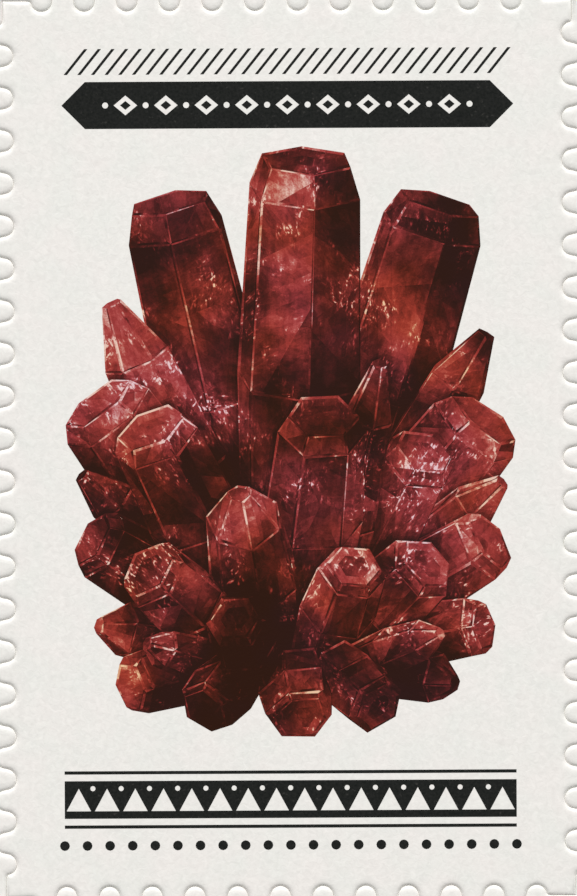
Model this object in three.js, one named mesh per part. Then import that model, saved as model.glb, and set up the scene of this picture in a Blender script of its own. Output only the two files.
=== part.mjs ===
// A self-adhesive postage stamp in the piece of its sheet that holds it. The stamp is face paper,
// cut free along a wavy die line. The rim is the same face paper outside that line. Both lie on one
// backing sheet, which the die didn't cut. The object lies flat, print up, top edge towards +Y, and
// its origin is the middle of the backing's underside.
import * as THREE from "three";

// Driving dimensions, in millimetres.
const stampWidth = 24.2; // between the middles of the left and right die lines
const stampHeight = 38.1; // between the middles of the top and bottom die lines
const gaugeAcross = 11.02; // teeth in 20 mm of the top and bottom sides
const gaugeDown = 11.06; // the same of the left and right sides
const teethAcross = 12;
const teethDown = 20;
const toothDepth = 0.9; // from the bottom of a notch to the tip of a tooth
const toothRadius = 0.44; // of tooth tips and of notch bottoms
const shoulderRun = 0.25; // length over which a straight stretch bends into the first tooth
const dieKerf = 0.03; // width of the cut
const rimWidth = 2.4; // of face paper outside the die line
const facePaper = 0.12; // thickness, with its adhesive coat
const backingPaper = 0.1; // thickness
const curveSteps = 3; // each tooth's arc has twice this many edges

const pitchAcross = 20 / gaugeAcross;
const pitchDown = 20 / gaugeDown;
const sheetWidth = stampWidth + 2 * rimWidth;
const sheetHeight = stampHeight + 2 * rimWidth;

// A tooth's circle and the next notch's circle stand this far either side of the die line's middle.
const centreOff = toothDepth / 2 - toothRadius;
// The straight flank between them touches both, so it leans from square by an angle of the pitch.
const flankLean = (pitch) =>
  Math.acos(toothRadius / Math.hypot(pitch / 4, centreOff)) - Math.atan2(centreOff, pitch / 4);

// The path's pen, turned and moved so that a side is drawn along +X with the stamp on its left.
function sidePen(path, cornerX, cornerY, turn) {
  const at = (x, y) => [
    cornerX + x * Math.cos(turn) - y * Math.sin(turn),
    cornerY + x * Math.sin(turn) + y * Math.cos(turn),
  ];
  return {
    lineTo: (x, y) => path.lineTo(...at(x, y)),
    bendTo: (cx, cy, x, y) => path.quadraticCurveTo(...at(cx, cy), ...at(x, y)),
    arc: (x, y, radius, from, to, clockwise) =>
      path.absarc(...at(x, y), radius, from + turn, to + turn, clockwise),
  };
}

// One side of the die line: a straight stretch, teeth and notches in turn, a straight stretch.
function drawSide(pen, { length, teeth, pitch }, grow) {
  const lean = flankLean(pitch);
  const straight = (length - teeth * pitch) / 2;
  const tooth = toothRadius + grow;
  const notch = toothRadius - grow;
  const firstTooth = straight + pitch / 4;
  const lastNotch = length - straight - pitch / 4;
  const toothFlankX = firstTooth - tooth * Math.cos(lean);
  const toothFlankY = -centreOff - tooth * Math.sin(lean);
  const notchFlankX = lastNotch + notch * Math.cos(lean);
  const notchFlankY = centreOff + notch * Math.sin(lean);
  const startX = toothFlankX + (toothFlankY + grow) * Math.tan(lean);
  const endX = notchFlankX + (notchFlankY + grow) * Math.tan(lean);

  pen.lineTo(startX - shoulderRun, -grow);
  pen.bendTo(startX, -grow, toothFlankX, toothFlankY);
  for (let i = 0; i < teeth; i += 1) {
    const x = firstTooth + i * pitch;
    pen.arc(x, -centreOff, tooth, Math.PI + lean, 2 * Math.PI - lean, false);
    pen.arc(x + pitch / 2, centreOff, notch, Math.PI - lean, lean, true);
  }
  pen.bendTo(endX, -grow, endX + shoulderRun, -grow);
}

// The whole die line round the stamp, moved outwards by grow.
function dieLine(path, grow) {
  const right = stampWidth / 2;
  const top = stampHeight / 2;
  const across = { length: stampWidth, teeth: teethAcross, pitch: pitchAcross };
  const down = { length: stampHeight, teeth: teethDown, pitch: pitchDown };
  path.moveTo(-right - grow, -top - grow);
  drawSide(sidePen(path, -right, -top, 0), across, grow);
  path.lineTo(right + grow, -top - grow);
  drawSide(sidePen(path, right, -top, Math.PI / 2), down, grow);
  path.lineTo(right + grow, top + grow);
  drawSide(sidePen(path, right, top, Math.PI), across, grow);
  path.lineTo(-right - grow, top + grow);
  drawSide(sidePen(path, -right, top, 1.5 * Math.PI), down, grow);
  path.closePath();
  return path;
}

function rectangle(width, height) {
  const shape = new THREE.Shape();
  shape.moveTo(-width / 2, -height / 2);
  shape.lineTo(width / 2, -height / 2);
  shape.lineTo(width / 2, height / 2);
  shape.lineTo(-width / 2, height / 2);
  shape.closePath();
  return shape;
}

// A flat sheet of one outline, standing on the plane at height z.
function sheet(name, shape, thickness, z, material) {
  const geometry = new THREE.ExtrudeGeometry(shape, {
    depth: thickness,
    bevelEnabled: false,
    curveSegments: curveSteps,
  });
  const mesh = new THREE.Mesh(geometry, material);
  mesh.name = name;
  mesh.position.z = z;
  return mesh;
}

function makeStamp() {
  const coatedPaper = new THREE.MeshStandardMaterial({
    color: 0xeeedea,
    roughness: 0.55,
    metalness: 0,
  });
  const outline = dieLine(new THREE.Shape(), -dieKerf / 2);
  return sheet("stamp", outline, facePaper, backingPaper, coatedPaper);
}

function makeRim() {
  const coatedPaper = new THREE.MeshStandardMaterial({
    color: 0xecebe7,
    roughness: 0.6,
    metalness: 0,
  });
  const outline = rectangle(sheetWidth, sheetHeight);
  outline.holes.push(dieLine(new THREE.Path(), dieKerf / 2));
  return sheet("sheet_rim", outline, facePaper, backingPaper, coatedPaper);
}

function makeBacking() {
  const releasePaper = new THREE.MeshStandardMaterial({
    color: 0xe4dfcf,
    roughness: 0.35,
    metalness: 0,
  });
  return sheet("backing", rectangle(sheetWidth, sheetHeight), backingPaper, 0, releasePaper);
}

const model = new THREE.Group();
model.add(makeStamp(), makeRim(), makeBacking());

export default model;
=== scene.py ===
import math
import random

import bpy
from mathutils import Matrix, Vector
from mathutils.geometry import convex_hull_2d, delaunay_2d_cdt


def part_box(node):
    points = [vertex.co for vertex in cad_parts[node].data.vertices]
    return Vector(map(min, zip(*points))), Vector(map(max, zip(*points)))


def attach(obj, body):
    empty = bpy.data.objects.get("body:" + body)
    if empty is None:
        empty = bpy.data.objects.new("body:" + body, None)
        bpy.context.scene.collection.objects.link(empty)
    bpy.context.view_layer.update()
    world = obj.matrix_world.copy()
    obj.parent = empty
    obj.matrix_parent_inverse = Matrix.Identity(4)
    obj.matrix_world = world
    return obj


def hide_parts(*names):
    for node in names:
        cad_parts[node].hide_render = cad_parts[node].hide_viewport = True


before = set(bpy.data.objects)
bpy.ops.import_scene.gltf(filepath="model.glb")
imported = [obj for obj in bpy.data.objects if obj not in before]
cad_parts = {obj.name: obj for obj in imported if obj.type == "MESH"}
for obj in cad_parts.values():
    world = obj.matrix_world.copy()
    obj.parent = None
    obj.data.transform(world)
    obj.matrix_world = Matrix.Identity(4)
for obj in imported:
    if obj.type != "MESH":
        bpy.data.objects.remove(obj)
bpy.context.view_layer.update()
print("frame loaded")

mm = 0.001  # sizes below are in millimetres, and meshes are in metres
photoWidth, photoHeight = 577, 896


# Helpers for node trees

def feed(tree, value, socket):
    if isinstance(value, bpy.types.Node):
        tree.links.new(value.outputs[0], socket)
    elif isinstance(value, bpy.types.NodeSocket):
        tree.links.new(value, socket)
    else:
        socket.default_value = value


def addNode(tree, kind, inputs=None, **settings):
    made = tree.nodes.new(kind)
    for name, value in settings.items():
        setattr(made, name, value)
    for name, value in (inputs or {}).items():
        feed(tree, value, made.inputs[name])
    return made


def calc(tree, operation, *values, clamp=False):
    made = addNode(tree, "ShaderNodeMath", operation=operation, use_clamp=clamp)
    for i, value in enumerate(values):
        feed(tree, value, made.inputs[i])
    return made.outputs[0]


def above(tree, value, edge, gain):
    # 0 up to the edge, then rising to 1
    return calc(tree, "MULTIPLY", calc(tree, "SUBTRACT", value, edge), gain, clamp=True)


def scaled(tree, vector, factor):
    made = addNode(tree, "ShaderNodeVectorMath", {"Vector": vector, "Scale": factor}, operation="SCALE")
    return made.outputs[0]


def groupTree(name, kind, inputs, outputs):
    tree = bpy.data.node_groups.new(name, kind)
    for label, socketType, default in inputs:
        socket = tree.interface.new_socket(label, in_out="INPUT", socket_type=socketType)
        if default is not None:
            socket.default_value = default
    for label, socketType in outputs:
        tree.interface.new_socket(label, in_out="OUTPUT", socket_type=socketType)
    given = tree.nodes.new("NodeGroupInput")
    result = tree.nodes.new("NodeGroupOutput")
    return tree, given.outputs, result.inputs


# Geometry Nodes: arcs and flat motifs that repeat along a line

def repeatAlong(tree, given, result, instance):
    line = addNode(tree, "GeometryNodeMeshLine", {
        "Count": given["Count"], "Start Location": given["First Centre"], "Offset": given["Pitch"],
    }, mode="OFFSET")
    row = addNode(tree, "GeometryNodeInstanceOnPoints", {"Points": line, "Instance": instance})
    real = addNode(tree, "GeometryNodeRealizeInstances", {"Geometry": row})
    done = addNode(tree, "GeometryNodeSetMaterial", {"Geometry": real, "Material": given["Material"]})
    feed(tree, done, result["Geometry"])


def makeArcRow():
    tree, given, result = groupTree("arcRow", "GeometryNodeTree", [
        ("Radius", "NodeSocketFloat", 0.44 * mm),
        ("Start Angle", "NodeSocketFloat", math.pi),
        ("Sweep Angle", "NodeSocketFloat", math.pi),
        ("Arc Points", "NodeSocketInt", 9),
        ("First Centre", "NodeSocketVector", None),
        ("Pitch", "NodeSocketVector", None),
        ("Count", "NodeSocketInt", 4),
        ("Material", "NodeSocketMaterial", None),
    ], [("Geometry", "NodeSocketGeometry")])
    arc = addNode(tree, "GeometryNodeCurveArc", {
        "Resolution": given["Arc Points"], "Radius": given["Radius"],
        "Start Angle": given["Start Angle"], "Sweep Angle": given["Sweep Angle"],
    }, mode="RADIUS")
    wire = addNode(tree, "GeometryNodeCurveToMesh", {"Curve": arc.outputs["Curve"]})
    repeatAlong(tree, given, result, wire)
    return tree


def makeMotifRow():
    tree, given, result = groupTree("motifRow", "GeometryNodeTree", [
        ("Sides", "NodeSocketInt", 4),
        ("Turn", "NodeSocketFloat", 0.0),
        ("Width", "NodeSocketFloat", mm),
        ("Height", "NodeSocketFloat", mm),
        ("Slant", "NodeSocketFloat", 0.0),
        ("First Centre", "NodeSocketVector", None),
        ("Pitch", "NodeSocketVector", None),
        ("Count", "NodeSocketInt", 4),
        ("Material", "NodeSocketMaterial", None),
    ], [("Geometry", "NodeSocketGeometry")])
    disc = addNode(tree, "GeometryNodeMeshCircle", {
        "Vertices": given["Sides"], "Radius": 0.5,
    }, fill_type="NGON")
    turned = addNode(tree, "GeometryNodeTransform", {
        "Geometry": disc, "Rotation": addNode(tree, "ShaderNodeCombineXYZ", {"Z": given["Turn"]}),
    })
    place = addNode(tree, "ShaderNodeSeparateXYZ", {"Vector": addNode(tree, "GeometryNodeInputPosition")})
    high = calc(tree, "MULTIPLY", place.outputs["Y"], given["Height"])
    leaned = calc(tree, "MULTIPLY", high, given["Slant"])
    wide = calc(tree, "MULTIPLY_ADD", place.outputs["X"], given["Width"], leaned)
    shaped = addNode(tree, "GeometryNodeSetPosition", {
        "Geometry": turned, "Position": addNode(tree, "ShaderNodeCombineXYZ", {"X": wide, "Y": high}),
    })
    repeatAlong(tree, given, result, shaped)
    return tree


def treeMesh(tree, settings):
    carrier = bpy.data.objects.new(tree.name, bpy.data.meshes.new(tree.name))
    bpy.context.scene.collection.objects.link(carrier)
    modifier = carrier.modifiers.new(tree.name, "NODES")
    modifier.node_group = tree
    for item in tree.interface.items_tree:
        if item.in_out == "INPUT" and item.name in settings:
            modifier[item.identifier] = settings[item.name]
    carrier.update_tag()
    ready = carrier.evaluated_get(bpy.context.evaluated_depsgraph_get())
    made = bpy.data.meshes.new_from_object(ready)
    bpy.data.objects.remove(carrier)
    return made


arcRow = makeArcRow()
motifRow = makeMotifRow()


def motifs(sides, width, height, first, pitch, count, turn=0.0, slant=0.0):
    made = treeMesh(motifRow, {
        "Sides": sides, "Turn": turn, "Width": width * mm, "Height": height * mm, "Slant": slant,
        "First Centre": (first[0] * mm, first[1] * mm, 0.0),
        "Pitch": (pitch[0] * mm, pitch[1] * mm, 0.0), "Count": count,
    })
    flat = [[tuple(made.vertices[i].co.xy / mm) for i in face.vertices] for face in made.polygons]
    bpy.data.meshes.remove(made)
    return flat


# The die line

dieCut = {
    "depth": 0.9,  # notch bottom to tooth tip
    "radius": 0.44,  # of tooth tips and notch bottoms
    "kerf": 0.03,
    "gap": 0.009,  # what is left of the kerf, because cut paper springs back
    "shoulderRun": 0.25,  # where a straight stretch bends into the first tooth
    "gaugeRun": 20,  # a gauge is the number of teeth in this length
    "arcPoints": 17,
    "bendPoints": 7,
}
stampLow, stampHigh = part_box("stamp")
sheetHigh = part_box("backing")[1]
tipsReach = dieCut["depth"] - dieCut["kerf"]  # the solid is this much wider than its die line
stampWidth = (stampHigh.x - stampLow.x) / mm - tipsReach
stampHeight = (stampHigh.y - stampLow.y) / mm - tipsReach
centreOff = dieCut["depth"] / 2 - dieCut["radius"]  # from the die line's middle to an arc's centre
dieSides = {
    "across": {"length": stampWidth, "teeth": 12, "gauge": 11.02},
    "down": {"length": stampHeight, "teeth": 20, "gauge": 11.06},
}


def measureSide(side):
    # adds the flanks' lean from square, the first and last arcs' places, and all arcs in turn
    pitch = dieCut["gaugeRun"] / side["gauge"]
    reach = math.hypot(pitch / 4, centreOff)
    side["lean"] = math.acos(dieCut["radius"] / reach) - math.atan2(centreOff, pitch / 4)
    side["firstTooth"] = (side["length"] - side["teeth"] * pitch) / 2 + pitch / 4
    side["lastNotch"] = side["length"] - side["firstTooth"]
    half = math.pi - 2 * side["lean"]
    rows = []
    for firstX, centreY, start, sweep in [
        (side["firstTooth"], -centreOff, math.pi + side["lean"], half),
        (side["firstTooth"] + pitch / 2, centreOff, math.pi - side["lean"], -half),
    ]:
        made = treeMesh(arcRow, {
            "Radius": dieCut["radius"] * mm, "Start Angle": start, "Sweep Angle": sweep,
            "Arc Points": dieCut["arcPoints"], "First Centre": (firstX * mm, centreY * mm, 0.0),
            "Pitch": (pitch * mm, 0.0, 0.0), "Count": side["teeth"],
        })
        points = [v.co.xy / mm for v in made.vertices]
        bpy.data.meshes.remove(made)
        count = dieCut["arcPoints"]
        rows.append([
            (Vector((firstX + i * pitch, centreY)), points[i * count:(i + 1) * count])
            for i in range(side["teeth"])
        ])
    side["arcs"] = [arc for pair in zip(*rows) for arc in pair]


for side in dieSides.values():
    measureSide(side)


def bend(a, b, c, count):
    # a curve from a to c that leaves and arrives along the lines to b, without its ends
    return [
        tuple((1 - t) ** 2 * a[k] + 2 * t * (1 - t) * b[k] + t * t * c[k] for k in range(2))
        for t in (i / count for i in range(1, count))
    ]


def sidePoints(side, grow):
    # one side of the die line along +X, with the stamp on its left, moved outwards by grow
    lean, radius = side["lean"], dieCut["radius"]
    tooth, notch = radius + grow, radius - grow
    flankIn = (side["firstTooth"] - tooth * math.cos(lean), -centreOff - tooth * math.sin(lean))
    flankOut = (side["lastNotch"] + notch * math.cos(lean), centreOff + notch * math.sin(lean))
    # where the flanks' lines meet the straight stretches
    startX = flankIn[0] + min(0.0, flankIn[1] + grow) * math.tan(lean)
    endX = flankOut[0] + max(0.0, flankOut[1] + grow) * math.tan(lean)
    run, steps = dieCut["shoulderRun"], dieCut["bendPoints"]
    points = [(-grow, -grow), (startX - run, -grow)]
    points += bend(points[-1], (startX, -grow), flankIn, steps)
    for i, (centre, arc) in enumerate(side["arcs"]):
        size = (notch if i % 2 else tooth) / radius
        points += [tuple(centre + (p - centre) * size) for p in arc]
    straight = (endX + run, -grow)
    points += bend(flankOut, (endX, -grow), straight, steps) + [straight]
    # far from the cut, the end arcs would fold back over the straight stretches
    for i, (x, y) in enumerate(points):
        if x < side["firstTooth"]:
            points[i] = (x, min(y, -grow))
        elif x > side["lastNotch"]:
            points[i] = (x, max(y, -grow))
    return points


def dieRing(grow):
    x, y = stampWidth / 2, stampHeight / 2
    ring = []
    for i, corner in enumerate([(-x, -y), (x, -y), (x, y), (-x, y)]):
        turn = Matrix.Rotation(i * math.pi / 2, 2)
        side = dieSides["down" if i % 2 else "across"]
        ring += [tuple(Vector(corner) + turn @ Vector(p)) for p in sidePoints(side, grow)]
    return ring


def sheetRing(inward):
    x, y = sheetHigh.x / mm - inward, sheetHigh.y / mm - inward
    return [(-x, -y), (x, -y), (x, y), (-x, y)]


print("die line drawn:", len(dieRing(0)), "points")


# One sheet of paper as a closed mesh of rings, bands between them, and flat faces

sharpAngle = math.radians(40)
weldDistance = 3e-5  # nearer points of a flat face become one
insideOnly = 1  # the flat fill keeps what is inside its loops
holeLoop = 1  # the place of a hole's loop, after the outline's


class Sheet:
    def __init__(self):
        self.points, self.faces = [], []
        self.inks, self.seeds = [], []  # one for each face
        self.tones, self.corners = [], []  # one for each corner of each face

    def ring(self, flat, z):
        first = len(self.points)
        self.points += [(x * mm, y * mm, z * mm) for x, y in flat]
        return list(range(first, len(self.points)))

    def add(self, face, ink, tones=None, corners=None, seed=0.0):
        self.faces.append(face)
        self.inks.append(ink)
        self.seeds.append(seed)
        self.tones += tones or [0.0] * len(face)
        self.corners += corners or [(0.0, 0.0)] * len(face)

    def band(self, low, high, ink, inside=False):
        for i in range(len(low)):
            j = (i + 1) % len(low)
            face = (low[i], low[j], high[j], high[i])
            self.add(face[::-1] if inside else face, ink)

    def bands(self, rings, inks, inside=False):
        for low, high, ink in zip(rings, rings[1:], inks):
            self.band(low, high, ink, inside)

    def fill(self, outer, ink, upward=True, hole=None, shapes=()):
        known = outer + (hole or [])
        flat = [Vector(self.points[i][:2]) / mm for i in known]
        z = self.points[outer[0]][2]
        loops = [list(range(len(outer)))]
        if hole:
            loops.append(list(range(len(outer), len(known))))
        fixed = len(loops)
        for shape in shapes:
            loops.append(list(range(len(flat), len(flat) + len(shape["points"]))))
            flat += [Vector(p) for p in shape["points"]]
        places, _, faces, origins, _, owners = delaunay_2d_cdt(flat, [], loops, insideOnly, weldDistance)
        index, onOutline = [], set()
        for place, origin in zip(places, origins):
            old = [known[i] for i in origin if i < len(known)]
            if old:
                onOutline.add(len(index))
            else:
                self.points.append((place.x * mm, place.y * mm, z))
            index.append(old[0] if old else len(self.points) - 1)
        # a shape that reaches the outline has leaked through a rounding fault, and isn't printed
        leaked = {k for face, owner in zip(faces, owners) if onOutline.intersection(face) for k in owner}
        for face, owner in zip(faces, owners):
            if hole and holeLoop in owner:
                continue
            # a later shape covers those before it, and a shadow darkens them
            shape = {}
            for over in sorted(k - fixed for k in owner if k >= fixed and k not in leaked):
                if "shade" in shapes[over]:
                    shape = {**shape, "tone": shape.get("tone", 0.0) - shapes[over]["shade"]}
                else:
                    shape = shapes[over]
            order = face if upward else face[::-1]
            tones, corners = None, None
            if "axis" in shape:
                tones = [toneAt(places[i], shape) for i in order]
                corners = [axisPlace(places[i], shape["axis"]) for i in order]
            self.add([index[i] for i in order], shape.get("ink", ink), tones, corners,
                     shape.get("seed", 0.0))

    def build(self, name, materials):
        mesh = bpy.data.meshes.new(name)
        mesh.from_pydata(self.points, [], self.faces)
        for material in materials:
            mesh.materials.append(material)
        mesh.polygons.foreach_set("material_index", self.inks)
        for label, domain, values in [("inkTone", "CORNER", self.tones), ("inkSeed", "FACE", self.seeds)]:
            mesh.attributes.new(label, "FLOAT", domain).data.foreach_set("value", values)
        uv = mesh.uv_layers.new(name="crystalPlace")
        uv.data.foreach_set("uv", [v for corner in self.corners for v in corner])
        mesh.shade_smooth()
        mesh.set_sharp_from_angle(angle=sharpAngle)
        mesh.validate()
        mesh.update()
        made = bpy.data.objects.new(name, mesh)
        bpy.context.scene.collection.objects.link(made)
        return made


def toneAt(place, shape):
    start, slope = shape["fade"]
    return shape["tone"] + (Vector(place) - start).dot(slope)


def axisPlace(place, axis):
    # where a point lies across and along a crystal
    foot, along = axis
    away = Vector(place) - foot
    return (away.x * along.y - away.y * along.x, away.dot(along))


paper, cutEdge, blackInk, rubyInk = range(4)  # places in a sheet's list of materials


# The print: a fan of six-sided crystals between two ornament bands

crystalFan = {
    # turn from upright, foot, length, radius, lean towards the reader, roll, kind of end
    "crystals": [
        (17, (1.6, -5.5), 17.0, 2.5, 12, 12, "blunt"),
        (-13, (-1.2, -6.0), 17.4, 2.6, 14, 40, "blunt"),
        (2, (0.2, -6.5), 19.7, 2.9, 18, 22, "blunt"),
        (30, (2.4, -5.6), 12.4, 1.6, 14, 30, "pointed"),
        (-25, (-2.0, -5.6), 13.4, 1.7, 14, 8, "pointed"),
        (39, (2.2, -6.4), 10.4, 2.3, 20, 48, "blunt"),
        (-36, (-2.0, -6.4), 10.9, 2.4, 18, 5, "blunt"),
        (50, (2.6, -6.9), 9.0, 1.3, 20, 18, "pointed"),
        (-48, (-2.4, -6.9), 9.2, 1.4, 20, 28, "pointed"),
        (60, (2.8, -7.3), 7.3, 1.9, 24, 20, "blunt"),
        (-59, (-2.6, -7.3), 7.4, 1.9, 24, 52, "blunt"),
        (81, (3.0, -8.4), 5.9, 1.6, 26, 33, "blunt"),
        (-80, (-3.0, -8.4), 5.8, 1.5, 26, 14, "pointed"),
        (104, (2.9, -9.0), 4.9, 1.4, 30, 8, "pointed"),
        (-106, (-2.9, -9.0), 4.7, 1.5, 30, 44, "blunt"),
        (28, (2.0, -7.2), 9.6, 2.0, 34, 30, "blunt"),
        (-26, (-2.0, -7.0), 10.4, 2.1, 32, 17, "blunt"),
        (12, (1.5, -7.6), 13.2, 1.3, 30, 15, "pointed"),
        (6, (0.5, -7.6), 11.4, 2.3, 38, 50, "blunt"),
        (-10, (-1.0, -8.2), 8.6, 2.0, 42, 28, "pointed"),
        (47, (2.4, -8.2), 6.4, 1.7, 42, 2, "blunt"),
        (-48, (-2.6, -8.2), 6.2, 1.8, 42, 36, "blunt"),
        (20, (1.4, -8.8), 6.2, 1.7, 50, 45, "blunt"),
        (70, (2.8, -9.2), 5.0, 1.0, 40, 10, "pointed"),
        (-72, (-2.6, -9.4), 4.8, 1.0, 40, 22, "pointed"),
        (134, (2.0, -9.2), 3.6, 1.5, 46, 25, "blunt"),
        (-138, (-2.0, -9.4), 3.4, 1.4, 46, 50, "blunt"),
        (172, (0.2, -9.4), 3.2, 1.6, 50, 12, "blunt"),
        (-20, (-1.6, -9.2), 4.2, 1.5, 60, 20, "blunt"),
    ],
    # share of the length, share of the radius
    "profiles": {
        "blunt": [(0.0, 0.82), (0.5, 1.0), (0.93, 0.9), (1.0, 0.72)],
        "pointed": [(0.0, 0.86), (0.4, 1.0), (0.8, 0.84), (1.0, 0.26)],
    },
    "corners": 6,
    "unevenness": 0.1,  # of the corners' distances from the axis
    "grazing": 0.02,  # a facet that is turned further from the reader isn't drawn
    "light": (-0.42, 0.5, 0.76),
    # tones run from 0, black, to 1, nearly white
    "shadeTone": 0.215, "lightGain": 0.5, "lightPower": 1.6, "brightest": 0.5,
    "faceGain": {"side": 0.0, "end": 0.07, "slope": 0.1},
    "stray": 0.08,  # of a crystal's tone, and of each facet's
    "fade": (0.05, 0.14),  # change of tone from a facet's middle to its far end
    "smallestEdged": 0.12,  # area below which a facet gets no edges
    "edgeWidth": (0.02, 0.12),
    "edgeLift": 0.05,
    "edgeGain": 0.36,  # how much an edge's tone follows its side's turn to the light
    "edgeStops": 3, "edgeSpan": (0.1, 0.9), "edgeSpread": 0.14,  # changes of tone along an edge
    "cuts": {"side": 3, "end": 0, "slope": 1},  # which break a facet into shards
    "cutBias": 0.2,  # keeps a cut away from a shard's corners
    "smallestShard": 0.02, "shardSpread": 0.07,
    "zones": 3,  # growth hexagons on an end face
    "zoneStep": 0.3, "smallestZone": 0.3, "zoneGain": (-0.09, 0.07),
    "shadows": [(0.22, 0.08), (0.5, 0.08), (0.9, 0.07)],  # reach beyond the crystal, loss of tone
    "shadowShift": (0.5, -0.6),
    "seed": 11,
}
# what the flat fill takes: how far an outline may bend back, its least area, its least width
fillLimits = {"bend": 1e-7, "area": 1e-3, "width": 0.005}
mitreLimit = 0.35  # how sharp a corner may be before its way inwards is cut short
shortestStrip = 1e-4  # squared, below which a strip's change of tone stays gentle


def cross2(a, b):
    return a[0] * b[1] - a[1] * b[0]


def area(points):
    return sum(cross2(a, b) for a, b in zip(points, points[1:] + points[:1])) / 2


def canFill(points):
    # the flat fill needs an outline that is convex, anticlockwise and not a hair's width
    steps = [Vector(b) - Vector(a) for a, b in zip(points, points[1:] + points[:1])]
    convex = all(cross2(a, b) > -fillLimits["bend"] for a, b in zip(steps, steps[1:] + steps[:1]))
    longest = max(step.length for step in steps)
    return convex and area(points) > max(fillLimits["area"], fillLimits["width"] * longest)


def keepLeft(points, start, direction):
    # the part of an outline on the left of a line
    kept = []
    for a, b in zip(points, points[1:] + points[:1]):
        sideA = cross2(direction, (a[0] - start[0], a[1] - start[1]))
        sideB = cross2(direction, (b[0] - start[0], b[1] - start[1]))
        if sideA >= 0:
            kept.append(a)
        if (sideA >= 0) != (sideB >= 0):
            t = sideA / (sideA - sideB)
            kept.append((a[0] + (b[0] - a[0]) * t, a[1] + (b[1] - a[1]) * t))
    return kept


def inset(points, distance, draw=None):
    # an outline moved inwards, with draw by a distance of its own at each corner
    moved = []
    for before, here, after in zip(points[-1:] + points[:-1], points, points[1:] + points[:1]):
        first = (Vector(here) - Vector(before)).normalized()
        second = (Vector(after) - Vector(here)).normalized()
        push = Vector((-first.y - second.y, first.x + second.x)) / max(mitreLimit, 1 + first.dot(second))
        push *= draw.uniform(*distance) if draw else distance
        moved.append((here[0] + push.x, here[1] + push.y))
    return moved


def shatter(points, cuts, draw):
    # the largest piece is cut in two, again and again
    pieces = [points]
    for _ in range(cuts):
        pieces.sort(key=area)
        whole = pieces.pop()
        weights = [draw.random() + crystalFan["cutBias"] for _ in whole]
        start = [sum(w * p[k] for w, p in zip(weights, whole)) / sum(weights) for k in range(2)]
        angle = draw.uniform(0, math.tau)
        x, y = math.cos(angle), math.sin(angle)
        halves = [keepLeft(whole, start, direction) for direction in ((x, y), (-x, -y))]
        pieces += [half for half in halves if len(half) > 2 and area(half) > crystalFan["smallestShard"]]
    return pieces


def prismFacets(draw, turn, foot, length, radius, lean, roll, kind):
    # the facets of one crystal that face the reader, and its axis
    turn, lean, roll = math.radians(turn), math.radians(lean), math.radians(roll)
    along = Vector((math.sin(turn) * math.cos(lean), math.cos(turn) * math.cos(lean), math.sin(lean)))
    across = Vector((math.cos(turn), -math.sin(turn), 0.0))
    outward = across.cross(along)
    count = crystalFan["corners"]
    corners = []
    for i in range(count):
        angle = roll + i * math.tau / count
        reach = radius * (1 + draw.uniform(-1, 1) * crystalFan["unevenness"])
        corners.append((across * math.cos(angle) + outward * math.sin(angle)) * reach)
    rings = []
    for share, width in crystalFan["profiles"][kind]:
        centre = Vector((*foot, 0.0)) + along * length * share
        rings.append([centre + corner * width for corner in corners])
    facets = [("end", rings[-1])]
    for low, high in zip(rings, rings[1:]):
        face = "slope" if high is rings[-1] else "side"
        for i in range(count):
            j = (i + 1) % count
            facets.append((face, [low[i], low[j], high[j], high[i]]))
    middle = Vector((*foot, 0.0)) + along * length / 2
    shown = []
    for face, points in facets:
        normal = (points[2] - points[0]).cross(points[3] - points[1]).normalized()
        if normal.dot(sum(points, Vector()) / len(points) - middle) < 0:
            normal, points = -normal, points[::-1]
        flat = [(p.x, p.y) for p in points]
        if normal.z > crystalFan["grazing"] and area(flat) > 0:
            shown.append((face, flat, normal))
    return shown, (Vector(foot), Vector((math.sin(turn), math.cos(turn))))


def castShadows(facets):
    # the crystal's outline, widened in steps, over the crystals behind it
    points = [Vector(p) for _, flat, _ in facets for p in flat]
    outline = [tuple(points[i]) for i in convex_hull_2d(points)]
    if area(outline) < 0:
        outline.reverse()
    shapes = []
    for reach, loss in crystalFan["shadows"]:
        right, up = (reach * k for k in crystalFan["shadowShift"])
        shapes.append({"points": [(x + right, y + up) for x, y in inset(outline, -reach)], "shade": loss})
    return shapes


def drawEdge(outside, inside, tone, common, draw):
    # one edge of a facet, brighter and darker along its length
    between = sorted(draw.uniform(*crystalFan["edgeSpan"]) for _ in range(crystalFan["edgeStops"]))
    stops = [0.0, *between, 1.0]
    tones = [tone + draw.gauss(0, crystalFan["edgeSpread"]) for _ in stops]
    seed = draw.random()
    shapes = []
    for low, high, first, last in zip(stops, stops[1:], tones, tones[1:]):
        near, far = (outside[0].lerp(outside[1], t) for t in (low, high))
        strip = [near, far, inside[0].lerp(inside[1], high), inside[0].lerp(inside[1], low)]
        along = far - near
        fade = (near, along * (last - first) / max(along.length_squared, shortestStrip))
        shapes.append({**common, "points": [tuple(p) for p in strip],
                       "tone": first, "fade": fade, "seed": seed})
    return shapes


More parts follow.
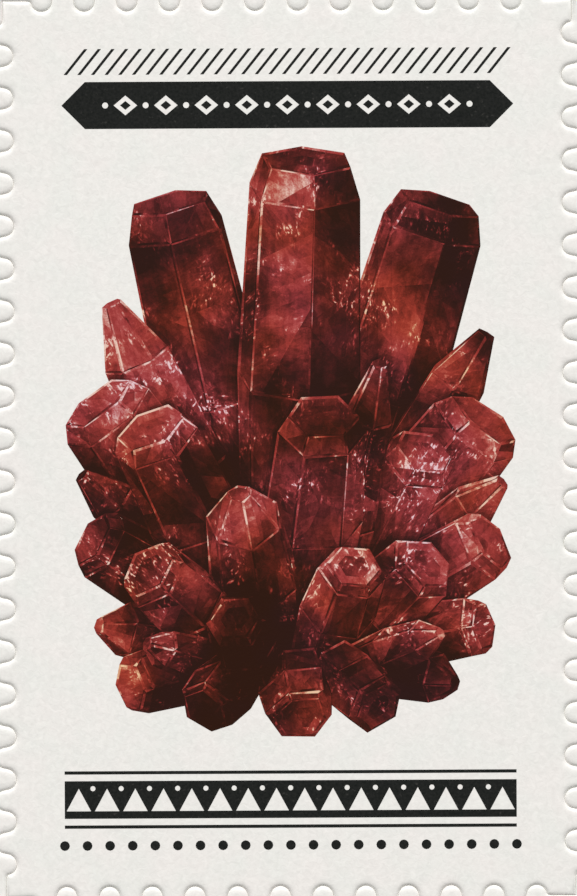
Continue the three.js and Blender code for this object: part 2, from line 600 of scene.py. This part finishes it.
def drawFacet(face, points, tone, common, light, draw):
    # the facet itself, then its edges, its shards and the zones of an end face over it
    ends = [Vector(p) for p in points]
    middle = sum(ends, Vector((0, 0))) / len(ends)
    reach = max((p - middle).length for p in ends)
    angle = draw.uniform(0, math.tau)
    slope = Vector((math.cos(angle), math.sin(angle))) * draw.uniform(*crystalFan["fade"]) / reach
    common = {**common, "fade": (middle, slope)}
    shapes = [{**common, "points": points, "tone": tone, "seed": angle / math.tau}]
    inner = inset(points, crystalFan["edgeWidth"], draw)
    if area(inner) > crystalFan["smallestEdged"]:
        kept = [Vector(p) for p in inner]
        for i in range(len(points)):
            j = (i + 1) % len(points)
            edge = ends[j] - ends[i]
            facing = Vector((edge.y, -edge.x)).normalized().dot(light.xy)
            edgeTone = tone + crystalFan["edgeLift"] + crystalFan["edgeGain"] * facing
            shapes += drawEdge((ends[i], ends[j]), (kept[i], kept[j]), edgeTone, common, draw)
        points = inner
    for piece in shatter(points, crystalFan["cuts"][face], draw):
        shardTone = tone + draw.gauss(0, crystalFan["shardSpread"])
        shapes.append({**common, "points": piece, "tone": shardTone, "seed": draw.random()})
    if face == "end":
        for zone in range(crystalFan["zones"]):
            points = inset(points, crystalFan["zoneStep"])
            if area(points) < crystalFan["smallestZone"]:
                break
            zoneTone = tone + crystalFan["zoneGain"][zone % 2]
            shapes.append({**common, "points": points, "tone": zoneTone, "seed": draw.random()})
    return shapes


def drawCrystals():
    fan = crystalFan
    draw = random.Random(fan["seed"])
    light = Vector(fan["light"]).normalized()
    stray = fan["stray"]
    shapes = []
    for crystal in fan["crystals"]:
        facets, axis = prismFacets(draw, *crystal)
        shapes += castShadows(facets)
        own = draw.uniform(-stray, stray)
        for face, points, normal in facets:
            lit = fan["lightGain"] * max(0.0, normal.dot(light)) ** fan["lightPower"]
            tone = fan["shadeTone"] + lit + own + draw.uniform(-stray, stray)
            tone = min(tone + fan["faceGain"][face], fan["brightest"])
            shapes += drawFacet(face, points, tone, {"ink": rubyInk, "axis": axis}, light, draw)
    return [shape for shape in shapes if canFill(shape["points"])]


ornaments = {
    "halfWidth": 9.6,
    "hatchY": 16.45, "hatchHeight": 1.1, "hatchPitch": 0.58, "hatchLine": 0.145, "hatchSlant": 0.8,
    "barY": 14.6, "barHeight": 2.0, "barPoint": 1.0,
    "lozenges": 9, "lozengePitch": 1.72, "lozengeWidth": 1.0, "lozengeHeight": 0.84,
    "eyeWidth": 0.46, "eyeHeight": 0.38, "barDot": 0.26,
    "footY": -14.9, "footHeight": 1.6, "footPitch": 1.2, "footDot": 0.22,
    "peakShare": 0.8, "peakDrop": 0.1, "dotRise": 0.3,  # shares of the foot's height
    "ruleOff": 1.15, "ruleLine": 0.14,
    "beadY": -16.85, "beadSize": 0.42, "beadPitch": 0.96,
    "roundSides": 12,
}


def drawOrnaments():
    size = ornaments
    wide = size["halfWidth"]
    triangle, square, disc = 3, 4, size["roundSides"]
    shapes = []

    def put(ink, *outlines):
        shapes.extend({"points": points, "ink": ink} for points in outlines)

    def row(ink, sides, width, height, y, pitch, count, **more):
        put(ink, *motifs(sides, width, height, (-pitch * (count - 1) / 2, y), (pitch, 0), count, **more))

    def block(x, y, height):
        return [(-x, y - height / 2), (x, y - height / 2), (x, y + height / 2), (-x, y + height / 2)]

    corner = math.sqrt(2)  # a four-sided motif turned square is this much narrower
    height, slant = size["hatchHeight"], size["hatchSlant"]
    count = int(2 * (wide - height * slant / 2) / size["hatchPitch"]) + 1
    row(blackInk, square, size["hatchLine"] * corner, height * corner, size["hatchY"], size["hatchPitch"],
        count, turn=math.pi / 4, slant=slant)
    barY, half, point = size["barY"], size["barHeight"] / 2, size["barPoint"]
    put(blackInk, [(-wide, barY), (-wide + point, barY - half), (wide - point, barY - half),
                   (wide, barY), (wide - point, barY + half), (-wide + point, barY + half)])
    pitch, count = size["lozengePitch"], size["lozenges"]
    row(paper, square, size["lozengeWidth"], size["lozengeHeight"], barY, pitch, count)
    row(blackInk, square, size["eyeWidth"], size["eyeHeight"], barY, pitch, count)
    row(paper, disc, size["barDot"], size["barDot"], barY, pitch, count + 1)
    footY, footHeight, pitch = size["footY"], size["footHeight"], size["footPitch"]
    put(blackInk, block(wide, footY, footHeight))
    for y in (footY - size["ruleOff"], footY + size["ruleOff"]):
        put(blackInk, block(wide, y, size["ruleLine"]))
    peaks = int(2 * wide / pitch)
    peakY, dotY = footY - footHeight * size["peakDrop"], footY + footHeight * size["dotRise"]
    row(paper, triangle, pitch, footHeight * size["peakShare"], peakY, pitch, peaks, turn=math.pi / 2)
    row(paper, disc, size["footDot"], size["footDot"], dotY, pitch, peaks - 1)
    row(blackInk, disc, size["beadSize"], size["beadSize"], size["beadY"], size["beadPitch"],
        int(2 * wide / size["beadPitch"]) + 1)
    return shapes


printShapes = drawOrnaments() + drawCrystals()
print("print drawn:", len(printShapes), "flat shapes")


# Finishes

paperSpecks = {"rate": 0.42, "radius": 0.03, "rarity": 0.86}
inkPinholes = {"rate": 0.6, "edge": 0.64, "gain": 9.0}  # the rate is a share of the dots' rate


def paperGroup():
    tree, given, result = groupTree("paperGrain", "ShaderNodeTree", [
        ("Place", "NodeSocketVector", None),
        ("Cloud Size", "NodeSocketFloat", 1.6),
        ("Fibre Size", "NodeSocketFloat", 0.09),
    ], [("Cloud", "NodeSocketFloat"), ("Fibre", "NodeSocketFloat"), ("Speck", "NodeSocketFloat")])
    cloud = addNode(tree, "ShaderNodeTexNoise", {
        "Vector": given["Place"], "Scale": calc(tree, "DIVIDE", 1.0, given["Cloud Size"]), "Detail": 4.0,
    })
    fibre = addNode(tree, "ShaderNodeTexNoise", {
        "Vector": given["Place"], "Scale": calc(tree, "DIVIDE", 1.0, given["Fibre Size"]),
        "Detail": 3.0, "Roughness": 0.66, "Distortion": 0.8,
    })
    cells = addNode(tree, "ShaderNodeTexVoronoi", {"Vector": given["Place"], "Scale": paperSpecks["rate"]})
    away = calc(tree, "DIVIDE", cells.outputs["Distance"], paperSpecks["radius"])
    near = calc(tree, "SUBTRACT", 1.0, away, clamp=True)
    chance = addNode(tree, "ShaderNodeSeparateColor", {"Color": cells.outputs["Color"]})
    rare = calc(tree, "GREATER_THAN", chance, paperSpecks["rarity"])
    feed(tree, cloud, result["Cloud"])
    feed(tree, fibre, result["Fibre"])
    feed(tree, calc(tree, "MULTIPLY", near, rare), result["Speck"])
    return tree


def inkGroup():
    tree, given, result = groupTree("inkGrain", "ShaderNodeTree", [
        ("Place", "NodeSocketVector", None),
        ("Dot Size", "NodeSocketFloat", 0.07),
    ], [("Dots", "NodeSocketFloat"), ("Pinholes", "NodeSocketFloat")])
    rate = calc(tree, "DIVIDE", 1.0, given["Dot Size"])
    dots = addNode(tree, "ShaderNodeTexNoise", {
        "Vector": given["Place"], "Scale": rate, "Detail": 2.0, "Roughness": 0.7,
    })
    holes = addNode(tree, "ShaderNodeTexNoise", {
        "Vector": given["Place"], "Scale": calc(tree, "MULTIPLY", rate, inkPinholes["rate"]), "Detail": 2.0,
    })
    feed(tree, dots, result["Dots"])
    feed(tree, above(tree, holes, inkPinholes["edge"], inkPinholes["gain"]), result["Pinholes"])
    return tree


paperGrain = paperGroup()
inkGrain = inkGroup()


def startMaterial(name, finish):
    material = bpy.data.materials.new(name)
    material.use_nodes = True
    tree = material.node_tree
    shader = tree.nodes["Principled BSDF"]
    shader.inputs["Roughness"].default_value = finish["roughness"]
    shader.inputs["Specular IOR Level"].default_value = finish["specular"]
    place = scaled(tree, addNode(tree, "ShaderNodeTexCoord").outputs["Object"], 1 / mm)
    return material, tree, shader, place


def blend(tree, factor, first, second, mode="MIX"):
    made = addNode(tree, "ShaderNodeMix", data_type="RGBA", blend_type=mode)
    feed(tree, factor, made.inputs["Factor"])
    # a Mix node's sockets for colours come after those for numbers and vectors
    for colour, socket in [(first, made.inputs[6]), (second, made.inputs[7])]:
        feed(tree, (*colour, 1) if isinstance(colour, tuple) else colour, socket)
    return made.outputs[2]


def ramp(tree, factor, stops):
    made = addNode(tree, "ShaderNodeValToRGB", {"Fac": factor})
    band = made.color_ramp
    while len(band.elements) < len(stops):
        band.elements.new(1.0)
    for element, (place, colour) in zip(band.elements, stops):
        element.position = place
        element.color = (*colour, 1.0)
    return made.outputs["Color"]


def useGroup(tree, group, inputs):
    made = tree.nodes.new("ShaderNodeGroup")
    made.node_tree = group
    for name, value in inputs.items():
        feed(tree, value, made.inputs[name])
    return made.outputs


def bump(tree, shader, height, distance):
    made = addNode(tree, "ShaderNodeBump", {"Height": height, "Distance": distance * mm})
    feed(tree, made, shader.inputs["Normal"])


def paperGrainAt(tree, place, finish):
    return useGroup(tree, paperGrain, {
        "Place": place, "Cloud Size": finish["cloudSize"], "Fibre Size": finish["fibreSize"],
    })


def paperColour(tree, grain, finish):
    clouds = calc(tree, "SUBTRACT", grain["Cloud"], 0.5)
    cloud = calc(tree, "MULTIPLY_ADD", clouds, finish["cloudContrast"], 0.5, clamp=True)
    base = blend(tree, cloud, finish["warm"], finish["cool"])
    return scaled(tree, base, calc(tree, "MULTIPLY_ADD", grain["Fibre"], *finish["fibreTone"]))


facePaper = {
    "roughness": 0.5, "specular": 0.55,
    "warm": (0.892, 0.855, 0.816), "cool": (0.859, 0.851, 0.806), "speck": (0.78, 0.74, 0.69),
    "cloudSize": 1.5, "cloudContrast": 3.0,
    "fibreSize": 0.24,
    "fibreTone": (0.28, 0.865),  # the colour's share rises by the first number from the second
    "relief": 0.008,
}


def makePaper():
    material, tree, shader, place = startMaterial("coatedPaper", facePaper)
    grain = paperGrainAt(tree, place, facePaper)
    colour = blend(tree, grain["Speck"], paperColour(tree, grain, facePaper), facePaper["speck"])
    feed(tree, colour, shader.inputs["Base Color"])
    bump(tree, shader, grain["Fibre"], facePaper["relief"])
    return material


cutPaper = {
    "roughness": 0.8, "specular": 0.2,
    "darkFibre": (0.78, 0.76, 0.72), "paleFibre": (0.90, 0.88, 0.85), "glue": (0.72, 0.67, 0.56),
    "glueTop": 0.123,  # height above the backing's underside
    "cloudSize": 0.4, "fibreSize": 0.03, "relief": 0.006,
}


def makeCutEdge():
    material, tree, shader, place = startMaterial("cutPaperEdge", cutPaper)
    grain = paperGrainAt(tree, place, cutPaper)
    height = addNode(tree, "ShaderNodeSeparateXYZ", {"Vector": place}).outputs["Z"]
    isGlue = calc(tree, "LESS_THAN", height, cutPaper["glueTop"])
    core = blend(tree, grain["Fibre"], cutPaper["darkFibre"], cutPaper["paleFibre"])
    feed(tree, blend(tree, isGlue, core, cutPaper["glue"]), shader.inputs["Base Color"])
    bump(tree, shader, grain["Fibre"], cutPaper["relief"])
    return material


blackPrint = {
    "roughness": 0.6, "specular": 0.05,
    "full": (0.0020, 0.0040, 0.0034), "thin": (0.0290, 0.0290, 0.0270), "bare": (0.14, 0.13, 0.12),
    "dotSize": 0.12, "pinholes": 0.2,
}


def makeBlackInk():
    material, tree, shader, place = startMaterial("blackInk", blackPrint)
    dots = useGroup(tree, inkGrain, {"Place": place, "Dot Size": blackPrint["dotSize"]})
    solid = blend(tree, dots["Dots"], blackPrint["full"], blackPrint["thin"])
    holes = calc(tree, "MULTIPLY", dots["Pinholes"], blackPrint["pinholes"])
    feed(tree, blend(tree, holes, solid, blackPrint["bare"]), shader.inputs["Base Color"])
    bump(tree, shader, paperGrainAt(tree, place, facePaper)["Fibre"], facePaper["relief"])
    return material


rubyPrint = {
    "roughness": 0.6, "specular": 0.06,
    # colour of each tone
    "ramp": [
        (0.0, (0.026, 0.009, 0.006)), (0.16, (0.042, 0.011, 0.008)), (0.32, (0.080, 0.014, 0.011)),
        (0.42, (0.126, 0.020, 0.016)), (0.52, (0.200, 0.028, 0.024)), (0.66, (0.325, 0.043, 0.037)),
        (0.78, (0.430, 0.082, 0.068)), (0.88, (0.560, 0.250, 0.200)), (1.0, (0.790, 0.590, 0.490)),
    ],
    "scarlet": (1.06, 0.92, 0.64), "rose": (1.02, 0.96, 1.22),
    "roseRate": 0.24, "roseFrom": (0.38, 4.0),  # noise at which rose sets in, and how steeply
    "seedShift": (37.0, 91.0),  # moves each shard's patterns by its seed
    "footFade": (7.0, 0.16),  # length from a crystal's foot, rise of tone over it
    # rate per mm, change of tone
    "masses": (0.17, 2.7), "clouds": (0.6, 0.46), "mottle": (2.4, 0.42),
    "breaks": [(1.1, 0.15), (3.1, 0.09)], "breakStretch": 2.2,
    "mostAdded": 0.2,  # to a tone by the masses and clouds together
    # rates across and along
    "streaks": (5.0, 0.5), "dashes": (2.6, 5.6), "runs": (6.5, 2.4), "chips": (1.3, 2.9),
    "streakChange": 0.26,
    # noise at which lights set in, how steeply, change of tone
    "glow": (0.5, 4.0, 0.28), "glint": (0.6, 9.0, 0.6), "chip": (0.62, 8.0, 0.5),
    "clusterRate": 0.5, "clusterFrom": (0.485, 6.0),  # where lights gather
    "dotSize": 0.075, "dotChange": 0.24,
}


def makeRubyInk():
    look = rubyPrint
    material, tree, shader, place = startMaterial("rubyInk", look)
    tone = addNode(tree, "ShaderNodeAttribute", attribute_name="inkTone").outputs["Fac"]
    seed = addNode(tree, "ShaderNodeAttribute", attribute_name="inkSeed").outputs["Fac"]
    shift = addNode(tree, "ShaderNodeCombineXYZ", {
        "X": calc(tree, "MULTIPLY", seed, look["seedShift"][0]),
        "Y": calc(tree, "MULTIPLY", seed, look["seedShift"][1]), "Z": seed,
    })
    own = addNode(tree, "ShaderNodeVectorMath", {0: place, 1: shift}, operation="ADD")
    turned = addNode(tree, "ShaderNodeVectorRotate", {
        "Vector": own, "Angle": calc(tree, "MULTIPLY", seed, math.tau),
    }, rotation_type="Z_AXIS")
    crystalPlace = addNode(tree, "ShaderNodeUVMap", uv_map="crystalPlace")

    def noise(where, detail, scale=1.0, bent=0.0, roughness=0.55):
        made = addNode(tree, "ShaderNodeTexNoise", {
            "Vector": where, "Scale": scale, "Detail": detail, "Distortion": bent, "Roughness": roughness,
        })
        return made.outputs[0]

    def fragments(where, scale):
        made = addNode(tree, "ShaderNodeTexVoronoi", {"Vector": where, "Scale": scale})
        return addNode(tree, "ShaderNodeSeparateColor", {"Color": made.outputs["Color"]}).outputs[0]

    def stretched(where, rates):
        across, along = rates
        moved = addNode(tree, "ShaderNodeVectorMath", {0: where, 1: shift}, operation="ADD")
        return addNode(tree, "ShaderNodeMapping", {"Vector": moved, "Scale": (across, along, 1.0)})

    def spread(value, amount):
        return calc(tree, "MULTIPLY", calc(tree, "SUBTRACT", value, 0.5), amount)

    def lights(value, edge, gain, amount):
        gathered = calc(tree, "MULTIPLY", above(tree, value, edge, gain), clusters)
        return calc(tree, "MULTIPLY", gathered, amount)

    footLength, footRise = look["footFade"]
    massRate, massChange = look["masses"]
    cloudRate, cloudChange = look["clouds"]
    mottleRate, mottleChange = look["mottle"]
    foot = addNode(tree, "ShaderNodeSeparateXYZ", {"Vector": crystalPlace}).outputs["Y"]
    clouds = spread(calc(tree, "DIVIDE", foot, footLength, clamp=True), footRise)
    for pattern, change in [
        (noise(place, detail=2.0, scale=massRate), massChange),
        (noise(own, detail=4.0, scale=cloudRate, bent=0.4), cloudChange),
    ]:
        clouds = calc(tree, "ADD", clouds, spread(pattern, change))
    value = calc(tree, "ADD", tone, calc(tree, "MINIMUM", clouds, look["mostAdded"]))
    dashes = noise(stretched(turned, look["dashes"]), detail=2.0, roughness=0.6)
    runs = noise(stretched(crystalPlace, look["runs"]), detail=2.0, roughness=0.6)
    peaks = calc(tree, "MAXIMUM", dashes, runs)
    chips = noise(stretched(turned, look["chips"]), detail=3.0, bent=0.3, roughness=0.62)
    gathering = noise(place, detail=4.0, scale=look["clusterRate"], bent=0.6)
    clusters = above(tree, gathering, *look["clusterFrom"])
    broken = addNode(tree, "ShaderNodeMapping", {
        "Vector": turned, "Scale": (1.0, look["breakStretch"], 1.0),
    })
    dots = useGroup(tree, inkGrain, {"Place": place, "Dot Size": look["dotSize"]})
    for part in [
        lights(peaks, *look["glow"]),
        lights(peaks, *look["glint"]),
        lights(chips, *look["chip"]),
        *(spread(fragments(broken, rate), change) for rate, change in look["breaks"]),
        spread(noise(own, detail=5.0, scale=mottleRate, bent=0.5, roughness=0.66), mottleChange),
        spread(noise(stretched(crystalPlace, look["streaks"]), detail=3.0), look["streakChange"]),
        spread(dots["Dots"], look["dotChange"]),
    ]:
        value = calc(tree, "ADD", value, part)
    base = ramp(tree, value, look["ramp"])
    rosy = above(tree, noise(place, detail=2.0, scale=look["roseRate"]), *look["roseFrom"])
    tint = blend(tree, rosy, look["scarlet"], look["rose"])
    feed(tree, blend(tree, 1.0, base, tint, mode="MULTIPLY"), shader.inputs["Base Color"])
    bump(tree, shader, paperGrainAt(tree, place, facePaper)["Fibre"], facePaper["relief"])
    return material


releaseCoat = {
    "roughness": 0.34, "specular": 0.45,
    "warm": (0.80, 0.755, 0.63), "cool": (0.75, 0.70, 0.575),
    "cloudSize": 2.6, "cloudContrast": 2.4,
    "fibreSize": 0.16, "fibreTone": (0.10, 0.95), "relief": 0.003,
}


def makeRelease():
    material, tree, shader, place = startMaterial("releasePaper", releaseCoat)
    grain = paperGrainAt(tree, place, releaseCoat)
    feed(tree, paperColour(tree, grain, releaseCoat), shader.inputs["Base Color"])
    bump(tree, shader, grain["Fibre"], releaseCoat["relief"])
    return material


materials = [makePaper(), makeCutEdge(), makeBlackInk(), makeRubyInk()]
releasePaper = makeRelease()
print("finishes made")


# The pieces

facesTop = stampHigh.z / mm
facesFoot = stampLow.z / mm
# the glue stays back from a cut by the recess, and the paper above it starts a step higher
glueCoat = {"thickness": 0.022, "recess": 0.012, "step": 0.002}
# paper rolls down towards a cut: depth and width of the soft fall, and of the steep lip within it
rolledEdge = {
    "stamp": {"soft": 0.041, "softWidth": 0.29, "lip": 0.053, "lipWidth": 0.145},
    "rim": {"soft": 0.053, "softWidth": 0.33, "lip": 0.041, "lipWidth": 0.125},
    "outside": {"soft": 0.004, "softWidth": 0.03, "lip": 0.006, "lipWidth": 0.01},
    "steps": (0.0, 0.04, 0.09, 0.15, 0.22, 0.31, 0.42, 0.56, 0.7, 0.85, 1.0),
    "guard": 0.04,  # of flat paper before the flat fill starts
}


def edgeRings(sheet, flatAt, roll):
    # flatAt gives the outline at a distance in from the cut
    glue = glueCoat
    rings = [
        sheet.ring(flatAt(glue["recess"]), facesFoot),
        sheet.ring(flatAt(glue["recess"]), facesFoot + glue["thickness"]),
        sheet.ring(flatAt(0), facesFoot + glue["thickness"] + glue["step"]),
    ]
    inks = [cutEdge] * len(rings)
    for share in rolledEdge["steps"]:
        away = share * roll["softWidth"]
        near = max(0.0, 1 - away / roll["lipWidth"])
        drop = roll["soft"] * (1 - share) ** 2 + roll["lip"] * near ** 2
        rings.append(sheet.ring(flatAt(away), facesTop - drop))
        inks.append(paper)
    rings.append(sheet.ring(flatAt(roll["softWidth"] + rolledEdge["guard"]), facesTop))
    return rings, inks


def makeStamp():
    sheet = Sheet()
    half = dieCut["gap"] / 2
    rings, inks = edgeRings(sheet, lambda away: dieRing(-half - away), rolledEdge["stamp"])
    sheet.bands(rings, inks)
    sheet.fill(rings[0], cutEdge, upward=False)
    sheet.fill(rings[-1], paper, shapes=printShapes)
    return sheet.build("printed_stamp", materials)


def makeRim():
    sheet = Sheet()
    half = dieCut["gap"] / 2
    rings, inks = edgeRings(sheet, lambda away: dieRing(half + away), rolledEdge["rim"])
    sheet.bands(rings, inks, inside=True)
    outer, outerInks = edgeRings(sheet, sheetRing, rolledEdge["outside"])
    sheet.bands(outer, outerInks)
    sheet.fill(outer[0], cutEdge, upward=False, hole=rings[0])
    sheet.fill(outer[-1], paper, hole=rings[-1])
    return sheet.build("sheet_rim_paper", materials)


# the die scores the backing's top, and shows faintly on its underside
releaseSheet = {"softEdge": 0.006, "scoreReach": 0.02, "scoreDepth": 0.012, "underScore": 0.003}


def makeBacking():
    size = releaseSheet
    coat = 0  # the place of the backing's only material
    sheet = Sheet()
    top, soft, reach = sheetHigh.z / mm, size["softEdge"], size["scoreReach"]
    outer = [sheet.ring(sheetRing(i), z) for i, z in [(soft, 0), (0, soft), (0, top - soft), (soft, top)]]
    sheet.bands(outer, [coat] * 3)
    for z, score, upward, edge in [
        (0, size["underScore"], False, outer[0]), (top, -size["scoreDepth"], True, outer[-1]),
    ]:
        rings = [sheet.ring(dieRing(grow), z + rise) for grow, rise in [(-reach, 0), (0, score), (reach, 0)]]
        sheet.bands(rings, [coat] * 2, inside=upward)
        sheet.fill(rings[0], coat, upward=upward)
        sheet.fill(edge, coat, upward=upward, hole=rings[-1])
    return sheet.build("release_backing", [releasePaper])


for make, node, slot in [
    (makeStamp, "stamp", "printed_face_paper"),
    (makeRim, "sheet_rim", "plain_face_paper"),
    (makeBacking, "backing", "release_paper"),
]:
    piece = make()
    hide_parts(node)
    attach(piece, "root")
    print("piece made:", piece.name, len(piece.data.polygons), "faces")


# The table, the lights and the camera

paleFloor = {
    "radius": 3.0, "steps": 64,  # radius in metres
    "drop": 0.01,  # below the backing, so that the two don't flicker
    "colour": (0.80, 0.795, 0.78), "roughness": 0.7, "specular": 0.2,
}
studio = {
    "keyPlace": (0.0, 6.8, 6.8), "keySize": (6.0, 3.0), "keyPower": 1130.0,  # metres and watts
    "skyColour": (1.0, 1.0, 1.0), "skyStrength": 0.16,
}


def makeFloor():
    mesh = bpy.data.meshes.new("floor")
    reach, steps = paleFloor["radius"], paleFloor["steps"]
    angles = [math.tau * i / steps for i in range(steps)]
    ring = [(reach * math.cos(angle), reach * math.sin(angle), -paleFloor["drop"] * mm) for angle in angles]
    mesh.from_pydata(ring, [], [list(range(steps))])
    material, _, shader, _ = startMaterial("paleFloor", paleFloor)
    shader.inputs["Base Color"].default_value = (*paleFloor["colour"], 1)
    mesh.materials.append(material)
    floor = bpy.data.objects.new("floor", mesh)
    bpy.context.scene.collection.objects.link(floor)


def makeLights():
    light = bpy.data.lights.new("key", "AREA")
    light.shape = "RECTANGLE"
    light.size, light.size_y = studio["keySize"]
    light.energy = studio["keyPower"]
    key = bpy.data.objects.new("key", light)
    key.location = studio["keyPlace"]
    key.rotation_euler = (-Vector(studio["keyPlace"])).to_track_quat("-Z", "Y").to_euler()
    bpy.context.scene.collection.objects.link(key)
    world = bpy.data.worlds.new("studio")
    world.use_nodes = True
    sky = world.node_tree.nodes["Background"]
    sky.inputs["Color"].default_value = (*studio["skyColour"], 1)
    sky.inputs["Strength"].default_value = studio["skyStrength"]
    bpy.context.scene.world = world


photoView = {
    "lens": 200.0, "sensor": 36.0,
    "clip": (0.005, 20.0),  # metres
    "pixelsPerMm": 23.54,
    "stampCentre": (289.0, 448.3),  # where the stamp's middle is in the photo, in pixels
    "turn": 0.28,  # degrees that the stamp is turned anticlockwise in the photo
}


def makeCamera():
    view = photoView
    camera = bpy.data.cameras.new("scanView")
    camera.lens, camera.sensor_width = view["lens"], view["sensor"]
    camera.clip_start, camera.clip_end = view["clip"]
    eye = bpy.data.objects.new("scanView", camera)
    turn = -math.radians(view["turn"])
    offset = Vector((photoWidth / 2 - view["stampCentre"][0], view["stampCentre"][1] - photoHeight / 2))
    offset = Matrix.Rotation(turn, 2) @ offset / view["pixelsPerMm"] * mm
    seenHeight = photoHeight / view["pixelsPerMm"] * mm
    eye.location = (offset.x, offset.y, facesTop * mm + seenHeight * view["lens"] / view["sensor"])
    eye.rotation_euler = (0.0, 0.0, turn)
    bpy.context.scene.collection.objects.link(eye)
    bpy.context.scene.camera = eye


makeFloor()
makeLights()
makeCamera()
bpy.context.scene.view_settings.view_transform = "Standard"
print("stage set")
